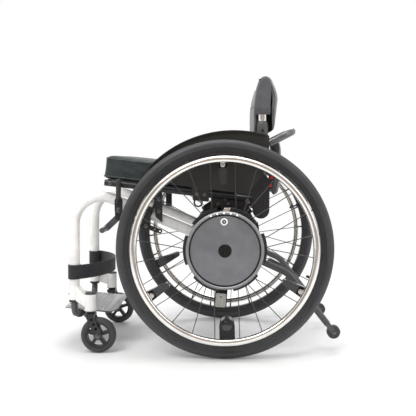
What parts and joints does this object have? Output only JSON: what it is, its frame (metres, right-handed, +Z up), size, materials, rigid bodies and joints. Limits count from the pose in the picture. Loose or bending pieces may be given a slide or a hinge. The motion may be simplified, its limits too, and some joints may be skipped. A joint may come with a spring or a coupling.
{
  "type": "wheelchair with power-assist wheels",
  "caption": "Rigid active wheelchair with spoked hub-motor power-assist drive wheels, sprung handrims, castors, wheel locks, folding back and anti-tip tubes.",
  "frame": {"origin": "on the floor under the middle of the chair", "axes": "+X rearward, +Y to the occupant's right, +Z up"},
  "size_m": [0.7958, 0.623, 0.784],
  "materials": {
    "tyre_rubber": "matt rubber",
    "rim_black": "satin black anodised",
    "spoke_black": "satin black",
    "hub_black": "satin black moulded",
    "hub_grey": "satin grey",
    "trim_bright": "polished",
    "socket_steel": "satin",
    "button_black": "gloss",
    "bearing_steel": "ground",
    "axle_steel": "ground",
    "motor_iron": "laminated and wound",
    "battery_blue": "sleeved cells",
    "handrim_steel": "polished stainless",
    "fin_black": "satin moulded",
    "block_black": "gloss",
    "frame_white": "gloss white powder coat",
    "fork_black": "satin black",
    "castor_black": "satin moulded",
    "castor_rubber": "matt",
    "guard_black": "semi-gloss",
    "tipper_grey": "satin dark grey",
    "roller_black": "matt",
    "lock_black": "satin black",
    "cap_black": "satin",
    "footrest_grey": "satin dark grey",
    "footplate_alu": "grooved, anodised",
    "strap_fabric": "woven webbing",
    "seat_black": "satin black",
    "sling_fabric": "woven",
    "cushion_fabric": "stretch knit cover",
    "back_grey": "satin grey",
    "back_fabric": "padded, woven"
  },
  "bodies": {
    "frame": {"side_frame_left": "frame_white", "side_frame_right": "frame_white", "castor_caps": "cap_black", "footrest_tube": "footrest_grey", "footplate": "footplate_alu", "calf_strap": "strap_fabric", "seat_frame": "seat_black", "seat_sling": "sling_fabric", "cushion": "cushion_fabric", "side_guard_left": "guard_black", "side_guard_right": "guard_black", "axle_tube": "seat_black", "axle_pin_left": "axle_steel", "axle_pin_right": "axle_steel", "stator_left": "motor_iron", "stator_right": "motor_iron", "lock_body_left": "lock_black", "lock_body_right": "lock_black"},
    "backrest": {"back_frame": "back_grey", "back_upholstery": "back_fabric"},
    "wheel_left": {"tyre_left": "tyre_rubber", "rim_left": "rim_black", "spokes_left": "spoke_black", "hub_shell_left": "hub_black", "hub_cover_left": "hub_grey", "trim_ring_left": "trim_bright", "charge_socket_left": "socket_steel", "hub_bearings_left": "bearing_steel", "battery_pack_left": "battery_blue", "handrim_fins_left": "fin_black", "sensor_block_left": "block_black"},
    "handrim_left": {"handrim_left": "handrim_steel"},
    "button_left": {"axle_button_left": "button_black"},
    "castor_fork_left": {"castor_fork_left": "fork_black"},
    "castor_left": {"castor_wheel_left": "castor_black", "castor_tyre_left": "castor_rubber"},
    "tipper_left": {"anti_tipper_left": "tipper_grey"},
    "roller_left": {"anti_tip_roller_left": "roller_black"},
    "lever_left": {"lock_lever_left": "lock_black"},
    "shoe_left": {"lock_shoe_left": "lock_black"},
    "wheel_right": {"tyre_right": "tyre_rubber", "rim_right": "rim_black", "spokes_right": "spoke_black", "hub_shell_right": "hub_black", "hub_cover_right": "hub_grey", "trim_ring_right": "trim_bright", "charge_socket_right": "socket_steel", "hub_bearings_right": "bearing_steel", "battery_pack_right": "battery_blue", "handrim_fins_right": "fin_black", "sensor_block_right": "block_black"},
    "handrim_right": {"handrim_right": "handrim_steel"},
    "button_right": {"axle_button_right": "button_black"},
    "castor_fork_right": {"castor_fork_right": "fork_black"},
    "castor_right": {"castor_wheel_right": "castor_black", "castor_tyre_right": "castor_rubber"},
    "tipper_right": {"anti_tipper_right": "tipper_grey"},
    "roller_right": {"anti_tip_roller_right": "roller_black"},
    "lever_right": {"lock_lever_right": "lock_black"},
    "shoe_right": {"lock_shoe_right": "lock_black"}
  },
  "joints": [
    {"name": "backrest_fold", "type": "hinge", "parent": "frame", "child": "backrest", "pos_m": [0.17386, 0, 0.492], "axis": [0, -1, 0], "range_deg": [0, 45]},
    {"name": "wheel_left_spin", "type": "hinge", "parent": "frame", "child": "wheel_left", "pos_m": [0.06789, -0.26, 0.3], "axis": [0, 1, 0], "continuous": true},
    {"name": "handrim_left_push", "type": "hinge", "parent": "wheel_left", "child": "handrim_left", "pos_m": [0.06789, -0.26, 0.3], "axis": [0, 1, 0], "range_deg": [-1, 1], "stiffness_Nm_per_rad": 300},
    {"name": "button_left_press", "type": "slide", "parent": "wheel_left", "child": "button_left", "axis": [0, 1, 0], "range_m": [0, 0.004], "stiffness_N_per_m": 1500},
    {"name": "castor_left_swivel", "type": "hinge", "parent": "frame", "child": "castor_fork_left", "pos_m": [-0.31311, -0.195, 0.118], "axis": [0, 0, 1], "continuous": true},
    {"name": "castor_left_spin", "type": "hinge", "parent": "castor_fork_left", "child": "castor_left", "pos_m": [-0.29011, -0.195, 0.05], "axis": [0, 1, 0], "continuous": true},
    {"name": "tipper_left_swing", "type": "hinge", "parent": "frame", "child": "tipper_left", "pos_m": [0.06789, -0.163, 0.3], "axis": [0.9119, 0, -0.4104], "range_deg": [0, 90]},
    {"name": "roller_left_spin", "type": "hinge", "parent": "tipper_left", "child": "roller_left", "pos_m": [0.37889, -0.163, 0.051], "axis": [0, 1, 0], "continuous": true},
    {"name": "lever_left_push", "type": "hinge", "parent": "frame", "child": "lever_left", "pos_m": [-0.23212, -0.2045, 0.4029], "axis": [0, -1, 0], "range_deg": [0, 60]},
    {"name": "shoe_left_swing", "type": "hinge", "parent": "frame", "child": "shoe_left", "pos_m": [-0.23212, -0.1935, 0.3849], "axis": [0, -1, 0], "range_deg": [0, 40]},
    {"name": "wheel_right_spin", "type": "hinge", "parent": "frame", "child": "wheel_right", "pos_m": [0.06789, 0.26, 0.3], "axis": [0, 1, 0], "continuous": true},
    {"name": "handrim_right_push", "type": "hinge", "parent": "wheel_right", "child": "handrim_right", "pos_m": [0.06789, 0.26, 0.3], "axis": [0, 1, 0], "range_deg": [-1, 1], "stiffness_Nm_per_rad": 300},
    {"name": "button_right_press", "type": "slide", "parent": "wheel_right", "child": "button_right", "axis": [0, -1, 0], "range_m": [0, 0.004], "stiffness_N_per_m": 1500},
    {"name": "castor_right_swivel", "type": "hinge", "parent": "frame", "child": "castor_fork_right", "pos_m": [-0.31311, 0.195, 0.118], "axis": [0, 0, 1], "continuous": true},
    {"name": "castor_right_spin", "type": "hinge", "parent": "castor_fork_right", "child": "castor_right", "pos_m": [-0.29011, 0.195, 0.05], "axis": [0, 1, 0], "continuous": true},
    {"name": "tipper_right_swing", "type": "hinge", "parent": "frame", "child": "tipper_right", "pos_m": [0.06789, 0.163, 0.3], "axis": [-0.9119, 0, 0.4104], "range_deg": [0, 90]},
    {"name": "roller_right_spin", "type": "hinge", "parent": "tipper_right", "child": "roller_right", "pos_m": [0.37889, 0.163, 0.051], "axis": [0, 1, 0], "continuous": true},
    {"name": "lever_right_push", "type": "hinge", "parent": "frame", "child": "lever_right", "pos_m": [-0.23212, 0.2045, 0.4029], "axis": [0, -1, 0], "range_deg": [0, 60]},
    {"name": "shoe_right_swing", "type": "hinge", "parent": "frame", "child": "shoe_right", "pos_m": [-0.23212, 0.1935, 0.3849], "axis": [0, -1, 0], "range_deg": [0, 40]}
  ],
  "couplings": [
    {"joint": "shoe_left_swing", "follows": "lever_left_push", "ratio": 0.66667},
    {"joint": "shoe_right_swing", "follows": "lever_right_push", "ratio": 0.66667}
  ]
}
